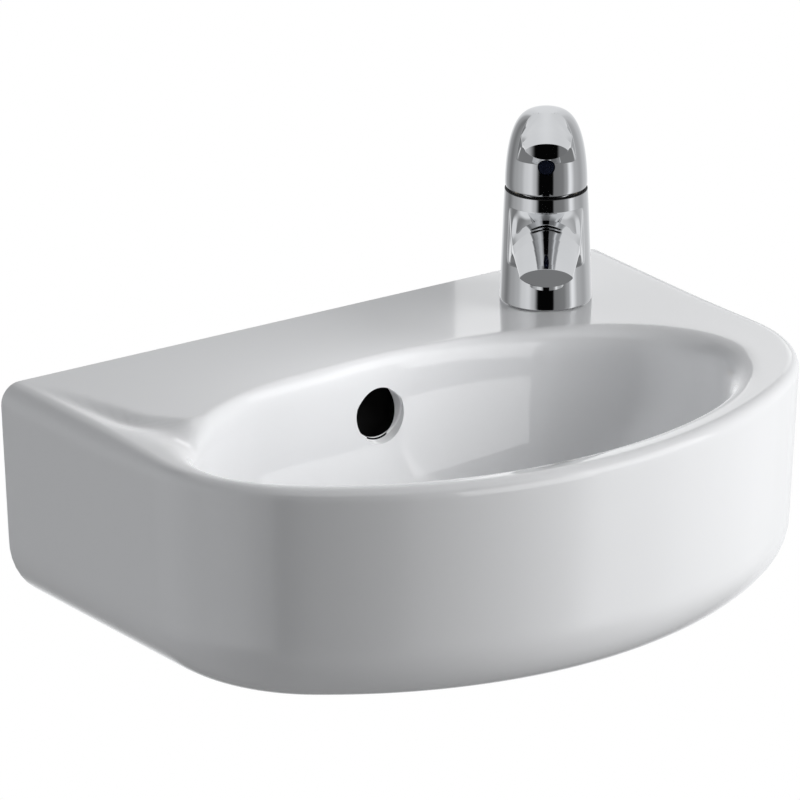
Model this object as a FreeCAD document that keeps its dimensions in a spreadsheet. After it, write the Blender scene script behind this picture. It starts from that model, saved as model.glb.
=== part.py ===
import FreeCAD, Part
import math
import os
import re

import Sketcher

# A small wall-hung washbasin with a single-lever mixer on its right shoulder and a
# push-button waste. X runs along the wall, -Y comes out into the room and Z is up.
# The origin lies on the wall, midway between the two fixing holes.

# Driving sizes, in millimetres and degrees

SIZES = {
    # ceramic body
    "basin_width": 400.0,
    "basin_depth": 281.5,
    "front_run": 137.5,
    "corner_radius": 107.0,
    "skirt_height": 128.0,
    "skirt_draft": 2.9,
    "rim_radius_side": 12.0,
    "rim_radius_front": 6.2,
    "base_radius": 40.0,
    "side_wall": 11.0,
    "deck_thickness": 14.0,
    "base_plate": 12.0,
    "back_wall": 12.0,
    # bowl
    "bowl_shift": 8.0,
    "end_rim": 22.75,
    "front_rim": 12.25,
    "deck_depth": 67.75,
    "roll_end": 18.75,
    "roll_side": 11.25,
    "roll_drop": 18.0,
    "roll_lift": 0.36,
    "bowl_floor": 30.0,
    "bowl_wall": 13.0,
    "floor_length": 124.0,
    "floor_width": 84.0,
    # overflow
    "overflow_radius": 14.5,
    "overflow_drop": 32.0,
    "overflow_wall": 10.0,
    "channel_width": 30.0,
    "channel_depth": 9.0,
    "channel_roof": 8.0,
    "channel_wall": 9.0,
    # wall fixing
    "bolt_spacing": 200.0,
    "bolt_drop": 70.0,
    "bolt_hole_radius": 7.0,
    "access_width": 290.0,
    "access_depth": 62.0,
    # tap on the deck
    "tap_inset": 77.5,
    "tap_setback": 50.5,
    "tap_turn": 35.3,
    "tap_hole_radius": 17.5,
    "column_base_radius": 25.2,
    "column_top_radius": 22.7,
    "column_height": 64.0,
    "column_edge": 0.8,
    "spout_reach": 92.0,
    "spout_root_half_width": 21.4,
    "spout_tip_half_width": 16.2,
    "spout_root_top": 55.5,
    "spout_root_bottom": 25.0,
    "spout_tip_top": 48.3,
    "spout_tip_bottom": 36.8,
    "spout_flare_up": 8.0,
    "spout_flare_down": 11.0,
    "inlet_radius": 5.0,
    "inlet_depth": 14.0,
    "inlet_spread": 8.5,
    "inlet_forward": 5.0,
    "waterway_radius": 3.2,
    "spout_bore_radius": 4.2,
    "port_spread": 3.6,
    "port_radius": 2.0,
    # cartridge
    "chamber_floor": 36.0,
    "chamber_radius": 17.6,
    "fit_gap": 0.05,
    "loose_gap": 0.3,
    "cartridge_base_height": 3.0,
    "fixed_disc_height": 3.0,
    "moving_disc_height": 6.4,
    "moving_disc_radius": 9.3,
    "mixing_setback": 2.5,
    "mixing_radius": 4.0,
    "mixing_depth": 1.0,
    "case_bore": 13.4,
    "case_shoulder_height": 16.0,
    "case_neck_radius": 15.2,
    "case_lid": 2.0,
    "case_height": 22.0,
    "case_mouth": 8.0,
    "nut_radius": 19.0,
    "nut_height": 7.4,
    "pivot_height": 55.5,
    "pivot_pin_radius": 1.5,
    "pin_edge": 0.3,
    "spindle_side": 8.0,
    "spindle_top": 93.0,
    "spindle_arm": 9.0,
    "arm_radius": 2.0,
    "arm_ball_radius": 2.4,
    "slot_half_length": 6.6,
    "collar_radius": 18.4,
    "collar_wall": 1.5,
    "collar_mouth": 12.9,
    # lever
    "lever_seam": 1.5,
    "lever_crown": 42.8,
    "lever_radius": 22.5,
    "dome_fullness": 0.54,
    "lever_bore": 19.4,
    "lever_bore_top": 75.5,
    "lever_lift": 25.0,
    "lift_spare": 1.0,
    "lever_reach": 48.0,
    "lever_root_half_width": 16.6,
    "lever_tip_half_width": 11.2,
    "lever_root_top": 107.4,
    "lever_root_bottom": 82.0,
    "lever_tip_top": 104.6,
    "lever_tip_bottom": 95.2,
    "plug_height": 82.2,
    "plug_face": 21.2,
    "plug_radius": 4.7,
    "plug_depth": 3.4,
    "plug_crown": 0.4,
    "screw_radius": 2.5,
    "screw_length": 9.0,
    "key_radius": 1.25,
    "key_depth": 4.5,
    # outlet
    "outlet_reach": 78.0,
    "outlet_radius": 9.2,
    "outlet_depth": 9.0,
    "outlet_shell_wall": 1.3,
    "outlet_lip": 1.2,
    "outlet_washer": 1.5,
    "screen_height": 4.5,
    "screen_hole_radius": 0.9,
    "screen_pitch": 2.7,
    # tap fixing under the deck
    "seal_inner": 19.0,
    "seal_outer": 22.5,
    "seal_height": 2.5,
    "stud_radius": 4.0,
    "stud_setback": 10.5,
    "stud_sunk": 16.0,
    "stud_length": 62.0,
    "driver_width": 1.6,
    "driver_depth": 2.0,
    "clamp_radius": 27.0,
    "clamp_notch": 15.0,
    "pad_height": 3.0,
    "plate_height": 2.5,
    "clamp_nut_radius": 7.5,
    "clamp_nut_height": 12.0,
    # waste
    "drain_back": 10.5,
    "drain_radius": 23.0,
    "flange_radius": 32.0,
    "flange_height": 3.0,
    "flange_edge": 1.0,
    "flange_gap": 0.5,
    "flange_seal_height": 1.5,
    "tail_radius": 20.95,
    "tail_bore": 18.4,
    "tail_connection": 17.5,
    "relief_width": 2.0,
    "relief_depth": 0.8,
    "window_width": 12.0,
    "window_height": 10.0,
    "seat_recess": 7.0,
    "seat_radius": 46.0,
    "tail_seal_height": 4.5,
    "tail_seal_radius": 31.0,
    "back_nut_radius": 31.0,
    "back_nut_height": 7.0,
    "hub_radius": 9.5,
    "hub_height": 14.0,
    "hub_drop": 8.0,
    "rib_width": 4.0,
    "barrel_radius": 7.0,
    "barrel_bore": 5.6,
    "barrel_below": 22.0,
    "barrel_flange": 9.0,
    "barrel_flange_height": 2.0,
    "cap_radius": 31.0,
    "cap_edge": 2.5,
    "cap_crown": 3.0,
    "cap_shoulder_radius": 18.6,
    "cap_shoulder_rise": 2.1,
    "cap_travel": 8.0,
    "cap_seal_radius": 25.0,
    "cap_seal_bore": 19.5,
    "cap_seal_height": 2.5,
    "stem_radius": 4.0,
    "stem_collar_radius": 5.3,
    "stem_collar_height": 3.0,
    "spring_wall": 1.0,
    # how far a cutter runs past the face it opens
    "cutter_overrun": 1.0,
}

# Holes in each ring of the outlet's screen, from the middle outwards

SCREEN_RINGS = {1: 6, 2: 12}

# Places and sizes that follow from the driving ones

WORKED_OUT = {
    "half_width": "basin_width / 2",
    "corner_inset": "half_width - corner_radius",
    "side_run": "basin_depth - front_run",
    "front_radius": "(corner_inset^2 + front_run^2 - corner_radius^2)"
                    " / (2 * (front_run - corner_radius))",
    "front_centre": "front_radius - basin_depth",
    "mouth_half_length": "half_width - end_rim",
    "mouth_half_width": "(basin_depth - front_rim - deck_depth) / 2",
    "bowl_centre": "deck_depth + mouth_half_width",
    "tap_offset": "half_width - tap_inset",
    "drain_setback": "bowl_centre - drain_back",
    "seam_level": "column_height + lever_seam",
    "case_bottom": "chamber_floor + cartridge_base_height",
    "case_shoulder": "case_bottom + case_shoulder_height",
    "case_top": "case_bottom + case_height",
    "fixed_disc_top": "case_bottom + fixed_disc_height",
    "moving_disc_bottom": "fixed_disc_top + fit_gap",
    "moving_disc_top": "moving_disc_bottom + moving_disc_height",
    "carrier_bottom": "moving_disc_top + loose_gap",
    "carrier_top": "case_top - case_lid - fit_gap",
    "carrier_radius": "case_bore - fit_gap",
    "ball_level": "pivot_height - spindle_arm",
    "nut_top": "case_shoulder + nut_height",
    "outlet_roof": "outlet_mouth + outlet_depth",
    "outlet_mouth": "spout_tip_bottom - 2 * outlet_lip",
    "outlet_shell_top": "outlet_roof - outlet_washer",
    "bore_level": "chamber_floor - 2 * spout_bore_radius",
    "bore_rise": "outlet_roof - spout_bore_radius / 2 - bore_level",
    "bore_run": "outlet_reach + waterway_radius",
    "pad_top": "-deck_thickness",
    "plate_top": "pad_top - pad_height",
    "clamp_nut_top": "plate_top - plate_height",
    "bowl_depth": "skirt_height - bowl_floor",
    "floor_level": "bolt_drop - bowl_depth",
    "flange_top": "floor_level",
    "flange_under": "flange_top - flange_height",
    "cap_top": "cap_under + cap_edge + cap_crown",
    "recess_level": "flange_under - flange_seal_height",
    "underside": "bolt_drop - skirt_height",
    "waste_seat": "underside + seat_recess",
    "back_nut_top": "waste_seat - tail_seal_height",
    "back_nut_under": "back_nut_top - back_nut_height",
    "connection_top": "back_nut_under - relief_width",
    "tail_end": "connection_top - tail_connection",
    "channel_top": "floor_level - channel_roof",
    "channel_bottom": "channel_top - channel_depth",
    "channel_front": "deck_depth + roll_side - overflow_wall",
    "channel_back": "channel_front - channel_depth",
    "hub_top": "flange_top - hub_drop",
    "hub_bottom": "hub_top - hub_height",
    "barrel_top": "hub_top + barrel_flange_height",
    "barrel_bottom": "hub_bottom - barrel_below",
    "cap_under": "flange_top + cap_seal_height + loose_gap + cap_travel",
    "cap_seal_under": "cap_under - cap_seal_height",
    "stem_collar_top": "barrel_top - loose_gap - stem_collar_height",
    "stem_collar_under": "stem_collar_top - stem_collar_height",
    "spring_bottom": "barrel_bottom + barrel_flange_height",
    "stem_bottom": "spring_bottom + cap_travel + stem_collar_height",
}

Vector = FreeCAD.Vector
doc = FreeCAD.newDocument("washbasin")
pieces = []


# The sheet of sizes, and how the solids read it

def fill_sheet(name, rows):
    """A sheet with one named cell for each row."""
    made = doc.addObject("Spreadsheet::Sheet", name)
    for row, (alias, content) in enumerate(rows.items(), 1):
        made.set("A%d" % row, alias)
        made.set("B%d" % row, str(content))
        made.setAlias("B%d" % row, alias)
    return made


def linked(formula):
    """The formula with every named size read from its sheet."""
    def source(found):
        word = found.group(0)
        if word in SIZES:
            return "Sizes." + word
        if word in WORKED_OUT:
            return "Places." + word
        return word
    return re.sub(r"[a-z][a-z_]+", source, formula)


fill_sheet("Sizes", SIZES)
fill_sheet("Places", {alias: "=" + linked(formula) for alias, formula in WORKED_OUT.items()})
doc.recompute()


def size(name):
    """The present number behind a named size or place."""
    sheet = doc.Sizes if name in SIZES else doc.Places
    return float(getattr(sheet, name))


def bind(thing, **formulas):
    """Tie properties of an object to formulas of the sheet."""
    for name, formula in formulas.items():
        thing.setExpression(name, linked(formula))


def at(thing, x="0", y="0", z="0"):
    """Tie an object's place to formulas of the sheet."""
    for axis, formula in (("x", x), ("y", y), ("z", z)):
        thing.setExpression("Placement.Base." + axis, linked(formula))
    return thing


# Shapes that the pieces are built from

def primitive(kind, name, **formulas):
    made = doc.addObject("Part::" + kind, name)
    bind(made, **formulas)
    return made


def upright(name, radius, bottom, top, x="0", y="0"):
    """An upright cylinder between two levels."""
    made = primitive("Cylinder", name, Radius=radius, Height="(%s) - (%s)" % (top, bottom))
    return at(made, x, y, bottom)


def lying(name, radius, start, end, axis, **place):
    """A cylinder lying along X or Y, from start to end on that axis."""
    made = primitive("Cylinder", name, Radius=radius, Height="(%s) - (%s)" % (end, start))
    direction = Vector(1, 0, 0) if axis == "x" else Vector(0, 1, 0)
    made.Placement.Rotation = FreeCAD.Rotation(Vector(0, 0, 1), direction)
    place[axis] = start
    return at(made, **place)


def block(name, x, y, z):
    """A box between pairs of formulas along each axis."""
    spans = {"Length": x, "Width": y, "Height": z}
    lengths = {key: "(%s) - (%s)" % (far, near) for key, (near, far) in spans.items()}
    made = primitive("Box", name, **lengths)
    return at(made, x[0], y[0], z[0])


def fused(name, *solids):
    made = doc.addObject("Part::MultiFuse", name)
    made.Shapes = list(solids)
    made.Refine = True
    return made


def cut(name, base, *tools):
    """The base less each tool in turn."""
    for step, tool in enumerate(tools, 1):
        made = doc.addObject("Part::Cut", name if step == len(tools) else "%s_%d" % (name, step))
        made.Base = base
        made.Tool = tool
        base = made
    return base


def origin_plane(body, role):
    return next(feature for feature in body.Origin.OriginFeatures if feature.Role == role)


def sketch_on(body, name, role):
    made = body.newObject("Sketcher::SketchObject", name)
    made.AttachmentSupport = [(origin_plane(body, role), "")]
    made.MapMode = "FlatFace"
    return made


def hold_point(sketch, geometry, point, x, y):
    """Dimension one end of a sketch line or arc from the sketch's origin."""
    drawn = sketch.getPoint(geometry, point)
    for kind, now, formula in (("DistanceX", drawn.x, x), ("DistanceY", drawn.y, y)):
        row = sketch.addConstraint(Sketcher.Constraint(kind, -1, 1, geometry, point, now))
        sketch.setExpression("Constraints[%d]" % row, linked(formula))


def turned(name, outline):
    """A body turned about Z from an outline of radius and height formulas."""
    body = doc.addObject("PartDesign::Body", name)
    sketch = sketch_on(body, name + "_outline", "XZ_Plane")
    count = len(outline)
    turns = [2 * math.pi * step / count for step in range(count)]
    corners = [Vector(2 + math.cos(turn), math.sin(turn), 0) for turn in turns]
    for step in range(count):
        sketch.addGeometry(Part.LineSegment(corners[step], corners[(step + 1) % count]), False)
    for step in range(count):
        sketch.addConstraint(Sketcher.Constraint("Coincident", step, 2, (step + 1) % count, 1))
    for step, (radius, level) in enumerate(outline):
        hold_point(sketch, step, 1, radius, level)
    turn = body.newObject("PartDesign::Revolution", name + "_turn")
    turn.Profile = sketch
    turn.ReferenceAxis = (sketch, ["V_Axis"])
    turn.Angle = 360
    return body


def ring(name, inner, outer, bottom, top):
    return turned(name, [(inner, bottom), (outer, bottom), (outer, top), (inner, top)])


def hexagon(name, radius, bottom, top):
    made = primitive("Prism", name, Circumradius=radius, Height="(%s) - (%s)" % (top, bottom))
    made.Polygon = 6
    return at(made, z=bottom)


def lens_wire(reach, half_width, top, bottom):
    """A lens across the spout's direction: one arc over, one arc under."""
    middle = (top + bottom) / 2
    left = Vector(-half_width, -reach, middle)
    right = Vector(half_width, -reach, middle)
    over = Part.Arc(left, Vector(0, -reach, top), right).toShape()
    under = Part.Arc(right, Vector(0, -reach, bottom), left).toShape()
    return Part.Wire([over, under])


def ellipse_wire(half_length, half_width, x, y, level):
    curve = Part.Ellipse(Vector(x, y, level), half_length, half_width)
    return Part.Wire([curve.toShape()])


def solid_feature(name, shape):
    made = doc.addObject("Part::Feature", name)
    made.Shape = shape
    return made


def mix(start, end, share):
    return start + (end - start) * share


# Where the finished pieces sit

def keep(thing, label, x="0", y="0", z="0", turn=0.0):
    """Name a finished piece, put it in its place and list it for writing."""
    thing.Label = label
    thing.Placement.Rotation = FreeCAD.Rotation(Vector(0, 0, 1), turn)
    at(thing, x, y, z)
    pieces.append(thing)
    return thing


def keep_on_deck(thing, label):
    """A piece of the tap, built about the tap's own axis with the deck at zero."""
    return keep(thing, label, "tap_offset", "-tap_setback", "bolt_drop", -size("tap_turn"))


def keep_in_drain(thing, label):
    """A piece of the waste, built about the drain's axis."""
    return keep(thing, label, "-bowl_shift", "-drain_setback", "0")


# Ceramic body

def d_block(name, inset, top, height, edge_radius):
    """A D-shaped block drafted inwards, straight at the back and rounded below."""
    body = doc.addObject("PartDesign::Body", name)
    plan = sketch_on(body, name + "_plan", "XY_Plane")
    inset_now = size(inset) if inset else 0.0
    half = size("half_width") - inset_now
    tail = size("basin_depth") / 2
    small = size("corner_radius") - inset_now
    large = size("front_radius") - inset_now
    left_centre = Vector(-size("corner_inset"), -size("side_run"), 0)
    right_centre = Vector(size("corner_inset"), -size("side_run"), 0)
    front_centre = Vector(0, size("front_centre"), 0)
    joint = math.atan2(left_centre.y - front_centre.y, left_centre.x)
    upward = Vector(0, 0, 1)
    plan.addGeometry([
        Part.LineSegment(Vector(-half, tail, 0), Vector(-half, left_centre.y, 0)),
        Part.ArcOfCircle(Part.Circle(left_centre, upward, small), math.pi, joint + 2 * math.pi),
        Part.ArcOfCircle(Part.Circle(front_centre, upward, large), joint, -math.pi - joint),
        Part.ArcOfCircle(Part.Circle(right_centre, upward, small), -math.pi - joint, 0),
        Part.LineSegment(Vector(half, right_centre.y, 0), Vector(half, tail, 0)),
        Part.LineSegment(Vector(half, tail, 0), Vector(-half, tail, 0)),
    ], False)
    for step in range(4):
        plan.addConstraint(Sketcher.Constraint("Tangent", step, 2, step + 1, 1))
    plan.addConstraint(Sketcher.Constraint("Coincident", 4, 2, 5, 1))
    plan.addConstraint(Sketcher.Constraint("Coincident", 5, 2, 0, 1))
    less = " - " + inset if inset else ""
    hold_point(plan, 0, 1, "-(half_width%s)" % less, "basin_depth / 2")
    hold_point(plan, 4, 2, "half_width" + less, "basin_depth / 2")
    hold_point(plan, 1, 3, "-corner_inset", "-side_run")
    hold_point(plan, 2, 3, "0", "front_centre")
    hold_point(plan, 3, 3, "corner_inset", "-side_run")
    pad = body.newObject("PartDesign::Pad", name + "_pad")
    pad.Profile = plan
    pad.Reversed = True
    bind(pad, Length=height, TaperAngle="-skirt_draft")
    doc.recompute()
    fillet = body.newObject("PartDesign::Fillet", name + "_round")
    fillet.Base = (pad, ["Edge%d" % number for number in edges_at(pad.Shape, pad.Shape.BoundBox.ZMin)])
    bind(fillet, Radius=edge_radius)
    return at(body, z=top)


def edges_at(shape, level):
    """Numbers of a D-shaped block's edges at one level, leaving out its straight back."""
    found = []
    for number, edge in enumerate(shape.Edges, 1):
        box = edge.BoundBox
        same_level = abs(box.ZMin - level) < 1e-3 and abs(box.ZMax - level) < 1e-3
        back_edge = box.YLength < 1e-3 and box.YMax > 0
        if same_level and not back_edge:
            found.append(number)
    return found


def rounded_rim(block_body):
    """The block with its top edge rounded, fuller at the sides than round the front."""
    doc.recompute()
    shape = block_body.Shape
    edges = []
    for number in edges_at(shape, size("bolt_drop")):
        edge = shape.Edges[number - 1]
        ends = (edge.valueAt(edge.FirstParameter), edge.valueAt(edge.LastParameter))
        names = ["rim_radius_front" if end.y < -size("side_run") - 1e-3 else "rim_radius_side" for end in ends]
        edges.append((number, size(names[0]), size(names[1])))
    made = doc.addObject("Part::Fillet", block_body.Name + "_rim")
    made.Base = block_body
    made.Edges = edges
    return made


def bowl_rings(roll_steps, wall_steps):
    """The bowl's level ellipses, from just over the deck through the roll to the floor."""
    length = size("mouth_half_length")
    width = size("mouth_half_width")
    drop = size("roll_drop")
    lift = size("roll_lift")
    for step in range(roll_steps):
        turn = math.pi / 2 * step / roll_steps
        half_length = length - size("roll_end") * math.sin(turn)
        half_width = width - size("roll_side") * math.sin(turn)
        yield half_length, half_width, drop * (1 - math.cos(turn)) - lift
    for step in range(wall_steps + 1):
        turn = math.pi / 2 * step / wall_steps
        half_length = mix(size("floor_length") / 2, length - size("roll_end"), math.cos(turn))
        half_width = mix(size("floor_width") / 2, width - size("roll_side"), math.cos(turn))
        yield half_length, half_width, mix(drop - lift, size("bowl_depth"), math.sin(turn))


def bowl_space():
    """The room inside the bowl."""
    x = -size("bowl_shift")
    y = -size("bowl_centre")
    rim = size("bolt_drop")
    rings = bowl_rings(roll_steps=5, wall_steps=7)
    wires = [ellipse_wire(length, width, x, y, rim - depth) for length, width, depth in rings]
    return solid_feature("bowl_space", Part.makeLoft(wires, True, False))


def bowl_jacket():
    """The bowl with its wall, standing in the hollow of the ceramic."""
    x = -size("bowl_shift")
    y = -size("bowl_centre")
    wall = size("bowl_wall")
    length = size("mouth_half_length") - size("roll_end") + wall
    width = size("mouth_half_width") - size("roll_side") + wall
    rim = size("bolt_drop")
    foot = size("skirt_height") - size("base_plate") / 2
    wires = [ellipse_wire(length, width, x, y, rim)]
    steps = 6
    for step in range(steps + 1):
        turn = math.pi / 2 * step / steps
        half_length = mix(size("floor_length") / 2 + wall, length, math.cos(turn))
        half_width = mix(size("floor_width") / 2 + wall, width, math.cos(turn))
        depth = mix(size("roll_drop"), foot, math.sin(turn))
        wires.append(ellipse_wire(half_length, half_width, x, y, rim - depth))
    return solid_feature("bowl_jacket", Part.makeLoft(wires, True, False))


def make_basin():
    outside = rounded_rim(d_block("basin_outside", "", "bolt_drop", "skirt_height", "base_radius"))
    inside = d_block("basin_inside", "side_wall", "bolt_drop - deck_thickness",
                     "skirt_height - deck_thickness - base_plate", "base_radius - side_wall")
    wide = ("-basin_width", "basin_width")
    tall = ("-basin_width", "basin_width")
    behind = block("room_behind", wide, ("0", "basin_width"), tall)
    behind_hollow = block("back_of_hollow", wide, ("-back_wall", "basin_width"), tall)
    access = block("access_opening", ("-access_width / 2", "access_width / 2"),
                   ("-back_wall - access_depth", "-back_wall"),
                   ("underside - base_plate", "underside + 2 * base_plate"))
    channel_housing = block("channel_housing",
                            ("-bowl_shift - channel_width / 2 - channel_wall",
                             "-bowl_shift + channel_width / 2 + channel_wall"),
                            ("-bowl_centre", "-channel_back + channel_wall"),
                            ("underside - base_plate", "bolt_drop"))
    drain_boss = upright("drain_boss", "seat_radius + channel_wall", "underside", "floor_level",
                         "-bowl_shift", "-drain_setback")
    seat = upright("waste_seat_recess", "seat_radius", "underside - base_plate", "waste_seat",
                   "-bowl_shift", "-drain_setback")
    hollow = cut("hollow", fused("hollow_room", cut("hollow_inside", inside, behind_hollow), access),
                 bowl_jacket(), channel_housing, drain_boss)
    channel_span = ("-bowl_shift - channel_width / 2", "-bowl_shift + channel_width / 2")
    fall = block("overflow_fall", channel_span, ("-channel_front", "-channel_back"),
                 ("channel_bottom", "bolt_drop - overflow_drop + overflow_radius"))
    run = block("overflow_run", channel_span, ("-drain_setback", "-channel_back"),
                ("channel_bottom", "channel_top"))
    mouth = lying("overflow_mouth", "overflow_radius", "-bowl_centre", "-channel_back", "y",
                  x="-bowl_shift", z="bolt_drop - overflow_drop")
    tap_hole = upright("tap_hole", "tap_hole_radius", "bolt_drop - 2 * deck_thickness",
                       "bolt_drop + deck_thickness", "tap_offset", "-tap_setback")
    drain = upright("drain", "drain_radius", "underside - base_plate", "bolt_drop",
                    "-bowl_shift", "-drain_setback")
    recess = upright("drain_recess", "flange_radius + flange_gap", "recess_level", "bolt_drop",
                     "-bowl_shift", "-drain_setback")
    bolt_holes = []
    for side, sign in (("left", "-"), ("right", "")):
        bolt_holes.append(lying("bolt_hole_" + side, "bolt_hole_radius", "-2 * back_wall", "back_wall", "y",
                                x=sign + "bolt_spacing / 2"))
    body = cut("basin_body", cut("basin_front", outside, behind), bowl_space(), hollow)
    keep(cut("basin_done", body, fall, run, mouth, tap_hole, drain, recess, seat, *bolt_holes), "basin")


make_basin()


# Tap body with its spout and waterways

def spout_ring(share):
    """One lens of the spout; the root flares out to meet the column."""
    flare = (1 - share) ** 4
    reach = mix(0.0, size("spout_reach"), share)
    half_width = mix(size("spout_root_half_width"), size("spout_tip_half_width"), share)
    top = mix(size("spout_root_top"), size("spout_tip_top"), share)
    bottom = mix(size("spout_root_bottom"), size("spout_tip_bottom"), share)
    top += size("spout_flare_up") * flare
    bottom -= size("spout_flare_down") * flare
    return lens_wire(reach, half_width, top, bottom)


def make_tap_body():
    column = turned("tap_column", [
        ("0", "0"), ("column_base_radius - column_edge", "0"), ("column_base_radius", "column_edge"),
        ("column_top_radius", "column_height - column_edge"),
        ("column_top_radius - column_edge", "column_height"), ("0", "column_height")])
    steps = 6
    lenses = [spout_ring(step / steps) for step in range(steps + 1)]
    spout = solid_feature("tap_spout", Part.makeLoft(lenses, True))
    chamber = turned("cartridge_chamber", [
        ("0", "chamber_floor"), ("chamber_radius", "chamber_floor"), ("chamber_radius", "case_shoulder"),
        ("nut_radius + fit_gap", "case_shoulder"), ("nut_radius + fit_gap", "2 * column_height"),
        ("0", "2 * column_height")])
    groove = ring("seal_groove", "seal_inner - loose_gap", "seal_outer + loose_gap",
                  "-seal_height", "seal_height")
    stud_hole = upright("stud_hole", "stud_radius + fit_gap", "-stud_sunk", "stud_sunk", y="stud_setback")
    tools = [chamber, groove, stud_hole]
    into_chamber = "chamber_floor + cutter_overrun"
    for side, sign in (("left", "-"), ("right", "")):
        x = sign + "inlet_spread"
        y = "-inlet_forward"
        tools.append(upright("inlet_" + side, "inlet_radius", "-inlet_depth", "inlet_depth", x, y))
        tools.append(upright("riser_" + side, "waterway_radius", "0", into_chamber, x, y))
    tools.append(upright("mixed_port", "port_radius", "bore_level", into_chamber))
    bore = primitive("Cylinder", "spout_bore", Radius="spout_bore_radius",
                     Height="sqrt(bore_run^2 + bore_rise^2)")
    along = Vector(0, -size("bore_run"), size("bore_rise"))
    bore.Placement.Rotation = FreeCAD.Rotation(Vector(0, 0, 1), along)
    tools.append(at(bore, y="waterway_radius", z="bore_level"))
    tools.append(upright("outlet_bore", "outlet_radius + fit_gap", "0", "outlet_roof", y="-outlet_reach"))
    keep_on_deck(cut("tap_body_done", fused("tap_casting", column, spout), *tools), "tap_body")


make_tap_body()


# Tap cartridge: base, ceramic discs, case, carrier, spindle and its retaining nut

def port_holes(name):
    """Two inlet ports in front of the mixed-water port in the middle."""
    places = {"left": ("-port_spread", "-inlet_forward"), "right": ("port_spread", "-inlet_forward"),
              "mixed": ("0", "0")}
    holes = []
    for side, (x, y) in places.items():
        holes.append(upright("%s_%s" % (name, side), "port_radius", "0", "column_height", x, y))
    return holes


def inlet_slots():
    """Slots that lead the water inwards from the body's risers to the disc's ports."""
    tall = ("0", "column_height")
    wide = ("-inlet_forward - port_radius", "port_radius - inlet_forward")
    return [
        upright("slot_end_left", "waterway_radius", *tall, "-inlet_spread", "-inlet_forward"),
        upright("slot_end_right", "waterway_radius", *tall, "inlet_spread", "-inlet_forward"),
        block("slot_left", ("-inlet_spread", "-port_spread"), wide, tall),
        block("slot_right", ("port_spread", "inlet_spread"), wide, tall),
    ]


def make_cartridge():
    base = upright("cartridge_base_blank", "chamber_radius - fit_gap", "chamber_floor", "case_bottom")
    ways = port_holes("base_port") + inlet_slots()
    keep_on_deck(cut("cartridge_base_done", base, *ways), "cartridge_base")
    fixed = upright("fixed_disc_blank", "case_bore - fit_gap", "case_bottom", "fixed_disc_top")
    keep_on_deck(cut("fixed_disc_done", fixed, *port_holes("disc_port")), "fixed_disc")
    moving = upright("moving_disc_blank", "moving_disc_radius", "moving_disc_bottom", "moving_disc_top")
    socket = upright("arm_socket", "arm_ball_radius + loose_gap", "ball_level - arm_ball_radius - fit_gap",
                     "column_height")
    mixing = upright("mixing_recess", "mixing_radius", "0", "moving_disc_bottom + mixing_depth",
                     y="mixing_setback")
    keep_on_deck(cut("moving_disc_done", moving, socket, mixing), "moving_disc")
    case = turned("cartridge_case_turned", [
        ("case_bore", "case_bottom"), ("chamber_radius - fit_gap", "case_bottom"),
        ("chamber_radius - fit_gap", "case_shoulder"), ("case_neck_radius", "case_shoulder"),
        ("case_neck_radius", "case_top"), ("case_mouth", "case_top"), ("case_mouth", "case_top - case_lid"),
        ("case_bore", "case_top - case_lid")])
    keep_on_deck(case, "cartridge_case")
    blank = upright("carrier_blank", "carrier_radius", "carrier_bottom", "carrier_top")
    slot = block("carrier_slot", ("-spindle_side / 2 - fit_gap", "spindle_side / 2 + fit_gap"),
                 ("-slot_half_length", "slot_half_length"), ("0", "column_height"))
    pin_hole = lying("carrier_pin_hole", "pivot_pin_radius", "-case_bore", "case_bore", "x",
                     z="pivot_height")
    keep_on_deck(cut("carrier_done", blank, slot, pin_hole), "cartridge_carrier")
    reach = "carrier_radius - pivot_pin_radius"
    pin_middle = lying("pin_middle", "pivot_pin_radius", "pin_edge - (%s)" % reach, reach + " - pin_edge",
                       "x", z="pivot_height")
    pin_core = lying("pin_core", "pivot_pin_radius - pin_edge", "-(%s)" % reach, reach, "x",
                     z="pivot_height")
    keep_on_deck(fused("pivot_pin_done", pin_middle, pin_core), "pivot_pin")
    half = "spindle_side / 2"
    square = ("-" + half, half)
    bar = block("spindle_bar", square, square, ("pivot_height - " + half, "spindle_top"))
    arm = upright("spindle_arm", "arm_radius", "ball_level", "pivot_height")
    ball = at(primitive("Sphere", "spindle_ball", Radius="arm_ball_radius"), z="ball_level")
    eye = lying("spindle_eye", "pivot_pin_radius + fit_gap", "-spindle_side", "spindle_side", "x",
                z="pivot_height")
    keep_on_deck(cut("spindle_done", fused("spindle_blank", bar, arm, ball), eye), "cartridge_spindle")
    nut = ring("cartridge_nut_turned", "case_neck_radius + fit_gap", "nut_radius",
               "case_shoulder", "nut_top")
    keep_on_deck(nut, "cartridge_nut")
    shell = primitive("Sphere", "collar_outside", Radius="collar_radius")
    room = primitive("Sphere", "collar_room", Radius="collar_radius - collar_wall")
    below = upright("collar_below", "2 * collar_radius", "-2 * collar_radius", "nut_top")
    above = upright("collar_above", "collar_mouth", "0", "2 * column_height")
    for ball_part in (shell, room):
        at(ball_part, z="pivot_height")
    keep_on_deck(cut("collar_done", shell, room, below, above), "cartridge_collar")


make_cartridge()


# Lever with its index plug and grub screw

def lever_ring(share):
    """One lens of the lever's tongue, from the dome to its tip."""
    reach = mix(0.0, size("lever_reach"), share)
    half_width = mix(size("lever_root_half_width"), size("lever_tip_half_width"), share)
    top = mix(size("lever_root_top"), size("lever_tip_top"), share ** 2)
    bottom = mix(size("lever_root_bottom"), size("lever_tip_bottom"), share)
    return lens_wire(reach, half_width, top, bottom)


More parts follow.
